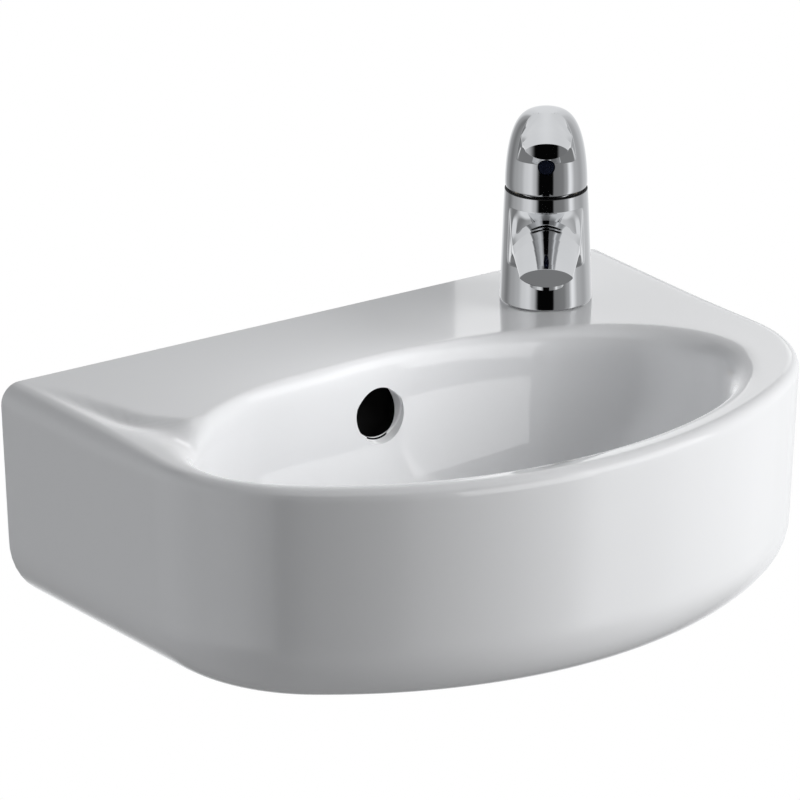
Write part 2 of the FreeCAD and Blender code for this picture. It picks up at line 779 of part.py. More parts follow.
def lever_dome():
    """The full-shouldered dome, turned about the tap's axis from the seam upwards."""
    steps = 8
    seam = size("seam_level")
    points = []
    for step in range(steps + 1):
        turn = math.pi / 2 * step / steps
        radius = size("lever_radius") * max(math.cos(turn), 0.0) ** size("dome_fullness")
        points.append(Vector(radius, 0, seam + size("lever_crown") * math.sin(turn)))
    points[-1].x = 0.0
    curve = Part.BSplineCurve()
    curve.interpolate(Points=points, InitialTangent=Vector(0, 0, 1), FinalTangent=Vector(-1, 0, 0))
    middle = Vector(0, 0, seam)
    edges = [curve.toShape(), Part.makeLine(points[-1], middle), Part.makeLine(middle, points[0])]
    outline = Part.Face(Part.Wire(edges))
    return solid_feature("lever_dome", outline.revolve(Vector(0, 0, 0), Vector(0, 0, 1), 360))


def make_lever():
    steps = 3
    lenses = [lever_ring(step / steps) for step in range(steps + 1)]
    tongue = solid_feature("lever_tongue", Part.makeLoft(lenses, True))
    bore = upright("lever_bore_space", "lever_bore", "0", "lever_bore_top")
    half = "spindle_side / 2 + fit_gap"
    square = ("-(%s)" % half, half)
    socket = block("spindle_socket", square, square, ("0", "spindle_top + loose_gap"))
    relief = primitive("Box", "lever_back_relief", Length="4 * lever_radius", Width="4 * lever_radius",
                       Height="2 * lever_radius")
    slope = FreeCAD.Rotation(Vector(1, 0, 0), size("lever_lift") + size("lift_spare"))
    corner = Vector(-2 * size("lever_radius"), 0, -2 * size("lever_radius"))
    relief.Placement = FreeCAD.Placement(Vector(0, 0, size("seam_level")) + slope.multVec(corner), slope)
    plug_back = "plug_depth - plug_face"
    plug_seat = lying("plug_seat", "plug_radius + fit_gap", "-2 * lever_radius", plug_back, "y",
                      z="plug_height")
    screw_hole = lying("screw_hole", "screw_radius + fit_gap", "-lever_radius", "0", "y", z="plug_height")
    blank = fused("lever_blank", lever_dome(), tongue)
    keep_on_deck(cut("lever_done", blank, bore, socket, relief, plug_seat, screw_hole), "tap_lever")
    screw_tip = "-spindle_side / 2"
    screw_head = screw_tip + " - screw_length"
    screw = lying("screw_blank", "screw_radius", screw_head, screw_tip, "y", z="plug_height")
    key = lying("screw_key", "key_radius", screw_head, screw_head + " + key_depth", "y", z="plug_height")
    keep_on_deck(cut("screw_done", screw, key), "lever_grub_screw")
    disc = lying("plug_disc", "plug_radius", "plug_crown - plug_face", plug_back, "y", z="plug_height")
    face = lying("plug_front", "plug_radius - plug_crown", "-plug_face", plug_back, "y", z="plug_height")
    keep_on_deck(fused("plug_done", disc, face), "index_plug")


make_lever()


# Outlet of the spout

def make_outlet():
    inner = "outlet_radius - outlet_shell_wall"
    shell = turned("outlet_shell_turned", [
        ("%s - outlet_lip" % inner, "outlet_mouth"), ("outlet_radius", "outlet_mouth"),
        ("outlet_radius", "outlet_shell_top"), (inner, "outlet_shell_top"),
        (inner, "outlet_mouth + outlet_lip"), ("%s - outlet_lip" % inner, "outlet_mouth + outlet_lip")])
    washer = ring("outlet_washer_turned", "spout_bore_radius", "outlet_radius",
                  "outlet_shell_top", "outlet_roof")
    screen = upright("screen_blank", inner + " - fit_gap", "outlet_mouth + outlet_lip",
                     "outlet_mouth + outlet_lip + screen_height")
    holes = []
    for row, count in SCREEN_RINGS.items():
        for step in range(count):
            turn = 360.0 / count * step
            x = "%d * screen_pitch * cos(%f)" % (row, turn)
            y = "%d * screen_pitch * sin(%f)" % (row, turn)
            name = "screen_hole_%d_%d" % (row, step)
            holes.append(upright(name, "screen_hole_radius", "0", "column_height", x, y))
    pierced = cut("screen_done", screen, *holes)
    for piece, label in ((shell, "outlet_shell"), (washer, "outlet_washer"), (pierced, "outlet_screen")):
        keep_on_deck(piece, label)
        at(piece, "tap_offset - outlet_reach * sin(tap_turn)",
           "-tap_setback - outlet_reach * cos(tap_turn)", "bolt_drop")


make_outlet()


# Fixings that clamp the tap to the deck

def horseshoe(name, bottom, top):
    """A clamping plate with a notch that lets the supply pipes through."""
    plate = upright(name + "_blank", "clamp_radius", bottom, top)
    notch = block(name + "_notch", ("-clamp_notch", "clamp_notch"),
                  ("-2 * clamp_radius", "stud_setback - 2 * stud_radius"),
                  ("2 * (%s)" % bottom, "-(%s)" % bottom))
    hole = upright(name + "_hole", "stud_radius + loose_gap", "2 * (%s)" % bottom, "0", y="stud_setback")
    return cut(name + "_done", plate, notch, hole)


def make_tap_fixing():
    keep_on_deck(ring("base_seal_turned", "seal_inner", "seal_outer", "0", "seal_height"), "base_seal")
    keep_on_deck(horseshoe("clamp_pad_shape", "plate_top", "pad_top"), "clamp_pad")
    keep_on_deck(horseshoe("clamp_plate_shape", "clamp_nut_top", "plate_top"), "clamp_plate")
    stud = upright("stud_blank", "stud_radius", "stud_sunk - stud_length", "stud_sunk", y="stud_setback")
    driver = block("stud_driver", ("-stud_radius", "stud_radius"),
                   ("stud_setback - driver_width / 2", "stud_setback + driver_width / 2"),
                   ("stud_sunk - stud_length", "stud_sunk - stud_length + driver_depth"))
    keep_on_deck(cut("stud_done", stud, driver), "fixing_stud")
    nut = hexagon("clamp_nut_blank", "clamp_nut_radius", "clamp_nut_top - clamp_nut_height", "clamp_nut_top")
    at(nut, y="stud_setback", z="clamp_nut_top - clamp_nut_height")
    thread = upright("clamp_nut_thread", "stud_radius + fit_gap", "-skirt_height", "0", y="stud_setback")
    keep_on_deck(cut("clamp_nut_done", nut, thread), "clamp_nut")


make_tap_fixing()


# Waste in the bowl's floor

def make_waste():
    body = turned("waste_turned", [
        ("tail_bore", "tail_end"), ("tail_radius", "tail_end"), ("tail_radius", "connection_top"),
        ("tail_radius - relief_depth", "connection_top"),
        ("tail_radius - relief_depth", "back_nut_under"),
        ("tail_radius", "back_nut_under"), ("tail_radius", "flange_under"),
        ("flange_radius", "flange_under"), ("flange_radius", "flange_top - flange_edge"),
        ("flange_radius - flange_height", "flange_top"), ("tail_bore", "flange_top")])
    hub = upright("waste_hub", "hub_radius", "hub_bottom", "hub_top")
    long_way = ("-tail_bore", "tail_bore")
    short_way = ("-rib_width / 2", "rib_width / 2")
    rib_tall = ("hub_bottom", "hub_top")
    ribs = [block("rib_across", long_way, short_way, rib_tall),
            block("rib_along", short_way, long_way, rib_tall)]
    window_long = ("-tail_radius", "tail_radius")
    window_short = ("-window_width / 2", "window_width / 2")
    window_tall = ("channel_top - window_height", "channel_top")
    windows = [block("windows_across", window_long, window_short, window_tall),
               block("windows_along", window_short, window_long, window_tall)]
    barrel_hole = upright("barrel_hole", "barrel_radius", "tail_end", "bolt_drop")
    pierced = cut("waste_pierced", body, *windows)
    keep_in_drain(cut("waste_done", fused("waste_blank", pierced, hub, *ribs), barrel_hole), "waste_body")
    keep_in_drain(ring("flange_seal_turned", "drain_radius", "flange_radius - flange_gap",
                       "recess_level", "flange_under"), "flange_seal")
    keep_in_drain(turned("tail_seal_turned", [
        ("tail_radius + fit_gap", "back_nut_top"), ("tail_seal_radius - flange_height", "back_nut_top"),
        ("tail_seal_radius", "waste_seat"), ("tail_radius + fit_gap", "waste_seat")]), "tail_seal")
    nut = hexagon("back_nut_blank", "back_nut_radius", "back_nut_under", "back_nut_top")
    thread = upright("back_nut_thread", "tail_radius + fit_gap", "2 * tail_end", "bolt_drop")
    keep_in_drain(cut("back_nut_done", nut, thread), "back_nut")
    keep_in_drain(turned("barrel_turned", [
        ("0", "barrel_bottom"), ("barrel_radius", "barrel_bottom"), ("barrel_radius", "hub_top"),
        ("barrel_flange", "hub_top"), ("barrel_flange", "barrel_top"),
        ("stem_radius + fit_gap", "barrel_top"),
        ("stem_radius + fit_gap", "stem_collar_top + loose_gap"),
        ("barrel_bore", "stem_collar_top + loose_gap"),
        ("barrel_bore", "spring_bottom"), ("0", "spring_bottom")]), "click_barrel")
    keep_in_drain(turned("cap_turned", [
        ("0", "cap_under"), ("cap_radius - cap_edge", "cap_under"),
        ("cap_radius", "cap_under + cap_edge / 2"), ("cap_radius", "cap_under + cap_edge"),
        ("cap_shoulder_radius", "cap_under + cap_edge + cap_shoulder_rise"),
        ("0", "cap_top")]), "waste_plug")
    cap_seal = ring("cap_seal_turned", "cap_seal_bore", "cap_seal_radius", "cap_seal_under", "cap_under")
    keep_in_drain(cap_seal, "plug_seal")
    keep_in_drain(turned("stem_turned", [
        ("0", "stem_bottom"), ("stem_radius", "stem_bottom"), ("stem_radius", "stem_collar_under"),
        ("stem_collar_radius", "stem_collar_under"), ("stem_collar_radius", "stem_collar_top"),
        ("stem_radius", "stem_collar_top"), ("stem_radius", "cap_under"), ("0", "cap_under")]), "plug_stem")
    keep_in_drain(ring("spring_turned", "barrel_bore - fit_gap - spring_wall", "barrel_bore - fit_gap",
                       "spring_bottom", "stem_collar_under"), "click_spring")


make_waste()


# Checking and writing

doc.recompute()
for thing in doc.Objects:
    if "Invalid" in thing.State or "Error" in thing.State:
        raise RuntimeError("%s did not build: %s" % (thing.Name, thing.State))
for piece in pieces:
    if piece.Shape.isNull() or not piece.Shape.isValid():
        raise RuntimeError("%s has no sound solid" % piece.Label)
os.makedirs("parts", exist_ok=True)
for piece in pieces:
    piece.Shape.exportStep("parts/%s.step" % piece.Label)
    print("%-20s %2d solids %10.1f mm3" % (piece.Label, len(piece.Shape.Solids), piece.Shape.Volume))
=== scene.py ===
from math import atan2, cos, pi, radians, sin, tan

import bmesh
import bpy
from mathutils import Matrix, Vector


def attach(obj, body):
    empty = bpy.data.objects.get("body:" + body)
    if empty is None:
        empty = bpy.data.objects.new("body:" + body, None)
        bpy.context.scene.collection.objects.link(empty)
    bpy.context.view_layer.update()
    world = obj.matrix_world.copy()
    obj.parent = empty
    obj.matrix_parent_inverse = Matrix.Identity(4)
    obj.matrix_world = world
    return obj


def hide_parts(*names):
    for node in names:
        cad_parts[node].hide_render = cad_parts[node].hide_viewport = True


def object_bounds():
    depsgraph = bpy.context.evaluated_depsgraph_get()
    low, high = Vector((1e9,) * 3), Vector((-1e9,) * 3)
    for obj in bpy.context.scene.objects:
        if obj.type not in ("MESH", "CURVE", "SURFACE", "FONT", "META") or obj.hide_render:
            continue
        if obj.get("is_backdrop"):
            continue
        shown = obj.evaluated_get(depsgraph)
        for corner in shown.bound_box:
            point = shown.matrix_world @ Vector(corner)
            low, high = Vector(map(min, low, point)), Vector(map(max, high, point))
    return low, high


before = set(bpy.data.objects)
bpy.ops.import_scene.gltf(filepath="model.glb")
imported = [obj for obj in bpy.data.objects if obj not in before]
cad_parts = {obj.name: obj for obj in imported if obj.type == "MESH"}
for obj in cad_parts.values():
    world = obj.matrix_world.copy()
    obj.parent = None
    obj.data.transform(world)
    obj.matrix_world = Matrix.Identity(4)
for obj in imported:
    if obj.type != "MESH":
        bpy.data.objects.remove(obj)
box_of_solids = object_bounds()

# The basin is slip-cast vitreous china, dipped in a thick opaque white glaze and fired,
# so every edge is soft. The face that stands against the wall is ground and left bare.

MM = 0.001


def surface_drift():
    """Slow and fine unevenness that the finishes share."""
    group = bpy.data.node_groups.new("surface_drift", "ShaderNodeTree")
    for label, scale in (("Broad Scale", 10.0), ("Fine Scale", 200.0)):
        socket = group.interface.new_socket(label, in_out="INPUT", socket_type="NodeSocketFloat")
        socket.default_value = scale
    for label in ("Broad", "Fine"):
        group.interface.new_socket(label, in_out="OUTPUT", socket_type="NodeSocketFloat")
    given = group.nodes.new("NodeGroupInput")
    result = group.nodes.new("NodeGroupOutput")
    spot = group.nodes.new("ShaderNodeTexCoord")
    for label, detail in (("Broad", 2.0), ("Fine", 4.0)):
        noise = group.nodes.new("ShaderNodeTexNoise")
        noise.inputs["Detail"].default_value = detail
        group.links.new(spot.outputs["Object"], noise.inputs["Vector"])
        group.links.new(given.outputs[label + " Scale"], noise.inputs["Scale"])
        group.links.new(noise.outputs["Fac"], result.inputs[label])
    return group


drift = surface_drift()
drift_low = 0.3
drift_high = 0.7


def finish(label, deep, pale, rough, broad, fine, bump, **constants):
    """A surface whose colour and gloss wander a little, with a fine grain in it."""
    made = bpy.data.materials.new(label)
    made.use_nodes = True
    tree = made.node_tree
    skin = tree.nodes["Principled BSDF"]
    for socket, value in constants.items():
        skin.inputs[socket.replace("_", " ")].default_value = value
    wander = tree.nodes.new("ShaderNodeGroup")
    wander.node_tree = drift
    wander.name = "wander"
    wander.inputs["Broad Scale"].default_value = broad
    wander.inputs["Fine Scale"].default_value = fine
    tone = tree.nodes.new("ShaderNodeMix")
    tone.name = "tone"
    tone.data_type = "RGBA"
    tone.inputs["A"].default_value = (*deep, 1)
    tone.inputs["B"].default_value = (*pale, 1)
    tree.links.new(wander.outputs["Broad"], tone.inputs["Factor"])
    tree.links.new(tone.outputs["Result"], skin.inputs["Base Color"])
    gloss = tree.nodes.new("ShaderNodeMapRange")
    gloss.name = "gloss"
    gloss.inputs["From Min"].default_value = drift_low
    gloss.inputs["From Max"].default_value = drift_high
    gloss.inputs["To Min"].default_value = rough[0]
    gloss.inputs["To Max"].default_value = rough[1]
    tree.links.new(wander.outputs["Fine"], gloss.inputs["Value"])
    tree.links.new(gloss.outputs["Result"], skin.inputs["Roughness"])
    relief = tree.nodes.new("ShaderNodeBump")
    relief.name = "relief"
    relief.inputs["Strength"].default_value = 1.0
    relief.inputs["Distance"].default_value = bump
    tree.links.new(wander.outputs["Fine"], relief.inputs["Height"])
    tree.links.new(relief.outputs["Normal"], skin.inputs["Normal"])
    return made


glaze = finish("white_glaze", deep=(0.88, 0.886, 0.898), pale=(0.91, 0.916, 0.928), rough=(0.05, 0.09),
               broad=9, fine=45, bump=0.01 * MM, Coat_Weight=0.7, Coat_Roughness=0.03)
# Painted shade: the overflow channel's inside is coloured near-black to stand for the shade in the hole.
channel_painted_shade = finish("channel_painted_shade", deep=(0.006, 0.006, 0.006), pale=(0.012, 0.012, 0.012),
                      rough=(0.7, 0.9), broad=40, fine=400, bump=0.05 * MM, Specular_IOR_Level=0.0)
bare_from = -0.02 * MM
bare_colour = (0.78, 0.75, 0.69)
bare_rough = 0.85


def leave_bare(surface):
    """Ground, unglazed china on the face that stands against the wall."""
    tree = surface.node_tree
    skin = tree.nodes["Principled BSDF"]
    spot = tree.nodes.new("ShaderNodeTexCoord")
    parts = tree.nodes.new("ShaderNodeSeparateXYZ")
    tree.links.new(spot.outputs["Object"], parts.inputs["Vector"])
    bare = tree.nodes.new("ShaderNodeMath")
    bare.name = "bare"
    bare.operation = "GREATER_THAN"
    bare.inputs[1].default_value = bare_from
    tree.links.new(parts.outputs["Y"], bare.inputs[0])
    ground_tone = tree.nodes.new("ShaderNodeMix")
    ground_tone.data_type = "RGBA"
    ground_tone.inputs["B"].default_value = (*bare_colour, 1)
    tree.links.new(bare.outputs["Value"], ground_tone.inputs["Factor"])
    tree.links.new(tree.nodes["tone"].outputs["Result"], ground_tone.inputs["A"])
    tree.links.new(ground_tone.outputs["Result"], skin.inputs["Base Color"])
    ground_gloss = tree.nodes.new("ShaderNodeMix")
    ground_gloss.inputs["B"].default_value = bare_rough
    tree.links.new(bare.outputs["Value"], ground_gloss.inputs["Factor"])
    tree.links.new(tree.nodes["gloss"].outputs["Result"], ground_gloss.inputs["A"])
    tree.links.new(ground_gloss.outputs["Result"], skin.inputs["Roughness"])
    coat = tree.nodes.new("ShaderNodeMix")
    coat.inputs["A"].default_value = skin.inputs["Coat Weight"].default_value
    coat.inputs["B"].default_value = 0.0
    tree.links.new(bare.outputs["Value"], coat.inputs["Factor"])
    tree.links.new(coat.outputs["Result"], skin.inputs["Coat Weight"])


leave_bare(glaze)

rim_level = 70 * MM
underside = -58 * MM
half_width = 199.8 * MM
side_run = 144 * MM
corner_inset = 93 * MM
corner_radius = 106.8 * MM
front_radius = 263.83 * MM
front_centre = -17.47 * MM
past_wall = 20 * MM
draft = tan(radians(2.9))
base_radius = 40 * MM
side_rounding = 12 * MM
front_rounding = 7 * MM
rounding_change = (80 * MM, 190 * MM)
plan_steps = (30, 32, 60, 36, 44, 40)

bowl_x = -8 * MM
bowl_y = -168.5 * MM
mouth = (177 * MM, 100.5 * MM)
wall_top = (158.5 * MM, 89.5 * MM)
bowl_floor = (62 * MM, 42 * MM)
roll_drop = 17.6 * MM
floor_level = -28 * MM


def mix(start, end, share):
    """The value a share of the way from a start to an end."""
    return start + (end - start) * share


def eased(value, start, end):
    """Nought before a start, one after an end, with a soft rise between them."""
    share = min(max((value - start) / (end - start), 0.0), 1.0)
    return share * share * (3 - 2 * share)


def plan_point(step, inset):
    """A point of the D-shaped plan, counted round from behind the right end."""
    joint = atan2(-side_run - front_centre, corner_inset)
    reach = half_width - inset
    small = corner_radius - inset
    large = front_radius - inset
    side = 0
    while step >= plan_steps[side]:
        step -= plan_steps[side]
        side += 1
    share = step / plan_steps[side]
    if side == 0:
        return Vector((reach, mix(past_wall, -side_run, share), 0))
    if side == 1:
        turn = joint * share
        return Vector((corner_inset + small * cos(turn), -side_run + small * sin(turn), 0))
    if side == 2:
        turn = mix(joint, -pi - joint, share)
        return Vector((large * cos(turn), front_centre + large * sin(turn), 0))
    if side == 3:
        turn = mix(-pi - joint, -pi, share)
        return Vector((-corner_inset + small * cos(turn), -side_run + small * sin(turn), 0))
    if side == 4:
        return Vector((-reach, mix(-side_run, past_wall, share), 0))
    return Vector((mix(-reach, reach, share), past_wall, 0))


def rounding_at(step):
    """How full the rim's outer edge is: full at the ends, tighter round the front."""
    return mix(side_rounding, front_rounding, eased(-plan_point(step, 0).y, *rounding_change))


def turn_round_bowl(step):
    """The direction from the bowl's middle to a point of the plan, from the right end round the back."""
    ahead = plan_point(step, 0) - Vector((bowl_x, bowl_y, 0))
    return atan2(ahead.y / mouth[1], ahead.x / mouth[0]) % (2 * pi)


def oval_point(step, half_length, half_depth):
    """The point of a level oval in the bowl that faces a point of the plan."""
    turn = turn_round_bowl(step)
    return Vector((bowl_x + half_length * cos(turn), bowl_y + half_depth * sin(turn), 0))


def within(step, rise, fall):
    """One over a stretch of directions round the bowl, in degrees, with a soft start and end."""
    turn = turn_round_bowl(step)
    return eased(turn, *map(radians, rise)) * (1 - eased(turn, *map(radians, fall)))


tight_stretch = ((40, 75), (140, 158))
drawn_stretch = ((40, 75), (95, 122))
drawn_share = 0.5
reach_stretch = ((100, 125), (190, 220))
reach_share = 0.55
crest_stretch = ((136, 152), (300, 345))
crest_share = 0.85


def deck_edge(step):
    """The edge of the flat deck round the bowl, drawn in behind the bowl's middle."""
    drawn = drawn_share * within(step, *drawn_stretch)
    return oval_point(step, *mouth).lerp(oval_point(step, *wall_top), drawn)


def left_reach(step):
    """How far the bowl's left end reaches past an even oval."""
    room = oval_point(step, *mouth) - oval_point(step, *wall_top)
    return room * reach_share * within(step, *reach_stretch)


def mouth_point(step):
    """Where the roll into the bowl starts: at the deck's edge behind and on the right, else on the crest."""
    crest = crest_share * within(step, *crest_stretch)
    return deck_edge(step).lerp(plan_point(step, rounding_at(step)), crest)


dip_depth = 3.6 * MM
dip_line = -184 * MM
dip_slant = 0.25
dip_behind = 5 * MM
dip_swing = 12 * MM
dip_swing_run = (80 * MM, 104 * MM)
dip_crest = -190 * MM
dip_rise = (5 * MM, 95 * MM)
dip_fall = (100 * MM, 140 * MM)
dip_lean = 0.6


def valley(spot):
    """How far the left shoulder dips between the flat deck and the rim's crest."""
    out = -spot.y
    line = dip_line + dip_slant * (out - dip_behind) + dip_swing * eased(out, *dip_swing_run)
    across = (line - spot.x) / (line - dip_crest)
    if not 0 < across < 1:
        return 0.0
    length = eased(out, *dip_rise) * (1 - eased(out, *dip_fall))
    return dip_depth * length * sin(pi * across ** dip_lean) ** 2


track_steps = 200
roll_steps = 22


def roll_track(gather):
    """Shares of width and drop along a roll whose turn gathers in a given way."""
    across, down = 0.0, 0.0
    track = []
    for step in range(track_steps):
        turn = pi / 2 * gather((step + 0.5) / track_steps)
        across += cos(turn)
        down += sin(turn)
        track.append((across, down))
    picked = [track[(track_steps - 1) * (step + 1) // roll_steps] for step in range(roll_steps)]
    return [Vector((out / across, drop / down)) for out, drop in picked]


def quarter(steps):
    """The turns of a quarter circle in even steps."""
    return [pi / 2 * step / steps for step in range(steps + 1)]


base_steps = 10
brim_steps = 10
wall_steps = 20
skirt_shares = (0.25, 0.5, 0.75, 0.97)
deck_shares = (0.03, 0.08, 0.14, 0.21, 0.28, 0.36, 0.44, 0.53, 0.62, 0.71, 0.8, 0.88, 0.94, 0.98, 1.0)


def rings_of_basin():
    """The casting's skin as level rings, from the underside over the rim to the bowl's floor."""
    foot = draft * (rim_level - underside - base_radius)
    for turn in reversed(quarter(base_steps)):
        def base(step, turn=turn):
            level = underside + base_radius * (1 - sin(turn))
            return plan_point(step, foot + base_radius * (1 - cos(turn))) + Vector((0, 0, level))
        yield base
    for share in skirt_shares:
        def skirt(step, share=share):
            level = mix(underside + base_radius, rim_level - rounding_at(step), share)
            return plan_point(step, draft * (rim_level - level)) + Vector((0, 0, level))
        yield skirt
    for turn in quarter(brim_steps):
        def brim(step, turn=turn):
            full = rounding_at(step)
            level = rim_level - full * (1 - sin(turn))
            inset = full * (1 - cos(turn)) + draft * (rim_level - level)
            return plan_point(step, inset) + Vector((0, 0, level))
        yield brim
    for share in deck_shares:
        def deck(step, share=share):
            spot = plan_point(step, rounding_at(step)).lerp(mouth_point(step), share)
            return spot + Vector((0, 0, rim_level - valley(spot)))
        yield deck
    soft = roll_track(lambda share: 3 * share ** 2 - 2 * share ** 3)
    tight = roll_track(lambda share: 1 - (1 - share) ** 3)
    for ends in zip(soft, tight):
        def roll(step, ends=ends):
            across, down = ends[0].lerp(ends[1], within(step, *tight_stretch))
            spot = mouth_point(step).lerp(oval_point(step, *wall_top) + left_reach(step), across)
            return spot + Vector((0, 0, rim_level - roll_drop * down - valley(spot) * (1 - down)))
        yield roll
    for turn in quarter(wall_steps)[1:]:
        def wall(step, out=cos(turn), down=sin(turn)):
            oval = [mix(low, high, out) for low, high in zip(bowl_floor, wall_top)]
            level = mix(rim_level - roll_drop, floor_level, down)
            return oval_point(step, *oval) + left_reach(step) * out + Vector((0, 0, level))
        yield wall


def cast_basin():
    """The closed casting before any hole is cut, with its back flat on the wall."""
    shell = bmesh.new()
    bmesh.ops.create_circle(shell, segments=sum(plan_steps), radius=1)
    shell.verts.ensure_lookup_table()
    count = shell.verts.layers.int.new("count")
    for number, vert in enumerate(shell.verts):
        vert[count] = number
    edge = shell.edges[:]
    verts = shell.verts[:]
    for number, ring in enumerate(rings_of_basin()):
        if number:
            grown = bmesh.ops.extrude_edge_only(shell, edges=edge)["geom"]
            edge = [part for part in grown if isinstance(part, bmesh.types.BMEdge)]
            verts = [part for part in grown if isinstance(part, bmesh.types.BMVert)]
        for vert in verts:
            vert.co = ring(vert[count])
    bmesh.ops.holes_fill(shell, edges=shell.edges, sides=0)
    bmesh.ops.bisect_plane(shell, geom=shell.verts[:] + shell.edges[:] + shell.faces[:], plane_co=(0, 0, 0),
                           plane_no=(0, 1, 0), clear_outer=True)
    bmesh.ops.holes_fill(shell, edges=shell.edges, sides=0)
    bmesh.ops.recalc_face_normals(shell, faces=shell.faces)
    return shell


def add(label, mesh, *surfaces):
    """Put a finished mesh into the scene."""
    data = bpy.data.meshes.new(label)
    mesh.to_mesh(data)
    mesh.free()
    for surface in surfaces:
        data.materials.append(surface)
    piece = bpy.data.objects.new(label, data)
    bpy.context.scene.collection.objects.link(piece)
    return piece


def slab(low, high):
    """A block between two corners."""
    block = bmesh.new()
    bmesh.ops.create_cube(block, size=1)
    low, high = Vector(low), Vector(high)
    bmesh.ops.scale(block, verts=block.verts, vec=high - low)
    bmesh.ops.translate(block, verts=block.verts, vec=(low + high) / 2)
    return block


rod_sides = 72


def rod(radius, start, end):
    """A round bar from one point to another."""
    bar = bmesh.new()
    way = Vector(end) - Vector(start)
    bmesh.ops.create_cone(bar, segments=rod_sides, radius1=radius, radius2=radius, depth=way.length,
                          cap_ends=True)
    turn = way.to_track_quat("Z", "Y").to_matrix()
    bmesh.ops.rotate(bar, verts=bar.verts, matrix=turn)
    bmesh.ops.translate(bar, verts=bar.verts, vec=(Vector(start) + Vector(end)) / 2)
    return bar


def settle(piece):
    """Work a piece's modifiers into its mesh."""
    shaped = bpy.data.meshes.new_from_object(piece.evaluated_get(bpy.context.evaluated_depsgraph_get()))
    piece.modifiers.clear()
    rough = piece.data
    piece.data = shaped
    shaped.name = piece.name
    bpy.data.meshes.remove(rough)


sharp_from = radians(38)


def carve(piece, *cutters):
    """Cut shapes out of a closed piece and soften the shading of what is left."""
    for cutter in cutters:
        cut = piece.modifiers.new("cut", "BOOLEAN")
        cut.operation = "DIFFERENCE"
        cut.solver = "EXACT"
        cut.material_mode = "TRANSFER"
        cut.object = cutter
    settle(piece)
    for cutter in cutters:
        bpy.data.objects.remove(cutter)
    piece.data.shade_smooth()
    piece.data.set_sharp_from_angle(angle=sharp_from)


throat_radius = 14.5 * MM
throat_ease = 0.9 * MM
throat_depth = 6.2 * MM
throat_clear = 0.3 * MM
before_wall = 8 * MM
channel_room = 5 * MM
channel_start = 6.4 * MM
channel_depth = 18 * MM
channel_slope = 0.45
slope_from = 6 * MM
painted_shade_from = 6.25 * MM
ease_steps = 6
weld_gap = 0.001 * MM
overflow_eye = Vector((bowl_x, -78.6 * MM, 38 * MM))
overflow_lean = radians(7.5)


def overflow_cutter():
    """The overflow: an eased edge, a short glazed throat and the channel behind it, whose inside is painted
    near-black as its shade.
    """
    channel_radius = throat_radius + channel_room
    outline = [(0, -before_wall), (throat_radius + throat_ease + throat_clear, -before_wall)]
    for turn in quarter(ease_steps):
        outline.append((throat_radius + throat_ease * (1 - sin(turn)), throat_ease * (1 - cos(turn))))
    outline += [(throat_radius, throat_depth), (channel_radius, channel_start),
                (channel_radius, channel_depth), (0, channel_depth)]
    tool = bmesh.new()
    corners = [tool.verts.new((radius, depth, 0)) for radius, depth in outline]
    lines = [tool.edges.new(pair) for pair in zip(corners, corners[1:])]
    bmesh.ops.spin(tool, geom=corners + lines, cent=(0, 0, 0), axis=(0, 1, 0), angle=2 * pi, steps=rod_sides,
                   use_merge=True)
    bmesh.ops.remove_doubles(tool, verts=tool.verts, dist=weld_gap)
    bmesh.ops.recalc_face_normals(tool, faces=tool.faces)
    for face in tool.faces:
        # Faces deeper in than this take the painted shade of the channel.
        face.material_index = int(face.calc_center_median().y > painted_shade_from)
    for vert in tool.verts:
        if vert.co.y > slope_from:
            vert.co.y += channel_slope * vert.co.z
    turned = Matrix.Translation(overflow_eye) @ Matrix.Rotation(overflow_lean, 4, "X")
    bmesh.ops.transform(tool, matrix=turned, verts=tool.verts)
    return add("overflow_cutter", tool, glaze, channel_painted_shade)


room_back = -12 * MM
room_roof = 56 * MM
room_base = -46 * MM
room_half = 166 * MM
room_parts = ((-room_half, room_half, -46 * MM, room_back), (-room_half, -36 * MM, -60 * MM, -40 * MM),
              (20 * MM, room_half, -60 * MM, -40 * MM), (92 * MM, 160 * MM, -84 * MM, -40 * MM))
access_half = 145 * MM
access_front = -74 * MM
access_top = -40 * MM
below_basin = -70 * MM


def hollow_cutters():
    """The room behind the bowl for a hand, the bolts and the pipes, open from below."""
    for left, right, front, back in room_parts:
        yield add("hollow_cutter", slab((left, front, room_base), (right, back, room_roof)), glaze)
    access = slab((-access_half, access_front, below_basin), (access_half, room_back, access_top))
    yield add("access_cutter", access, glaze)


tap_x = 122.5 * MM
tap_y = -50.5 * MM
tap_hole_radius = 17.5 * MM
tap_hole_span = (40 * MM, 80 * MM)
drain_y = -158 * MM
drain_base = -80 * MM
drain_seat_radius = 32.5 * MM
drain_seat_level = -32.5 * MM
drain_hole_radius = 23 * MM
nut_seat_radius = 46 * MM
nut_seat_level = -51 * MM
bolt_radius = 7 * MM
bolt_x = 100 * MM
bolt_span = 20 * MM


def upright_cutter(label, radius, x, y, low, high):
    """A round hole straight down through the china."""
    return add(label, rod(radius, (x, y, low), (x, y, high)), glaze)


def bolt_cutter(label, x):
    """A hole for a wall bolt, through the back of the china."""
    return add(label, rod(bolt_radius, (x, -bolt_span, 0), (x, bolt_span, 0)), glaze)


basin = add("basin_casting", cast_basin(), glaze)
carve(basin, overflow_cutter(), *hollow_cutters(),
      upright_cutter("tap_hole", tap_hole_radius, tap_x, tap_y, *tap_hole_span),
      upright_cutter("drain_seat", drain_seat_radius, bowl_x, drain_y, drain_seat_level, 0),
      upright_cutter("drain_hole", drain_hole_radius, bowl_x, drain_y, drain_base, 0),
      upright_cutter("nut_seat", nut_seat_radius, bowl_x, drain_y, drain_base, nut_seat_level),
      bolt_cutter("bolt_left", -bolt_x), bolt_cutter("bolt_right", bolt_x))
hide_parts("basin")
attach(basin, "root")
basin.visible_glossy = False

# The push-button waste is turned brass, chromed where it shows in the bowl. Rubber rings
# seal it above and below the china, and a brass nut draws it down from underneath.

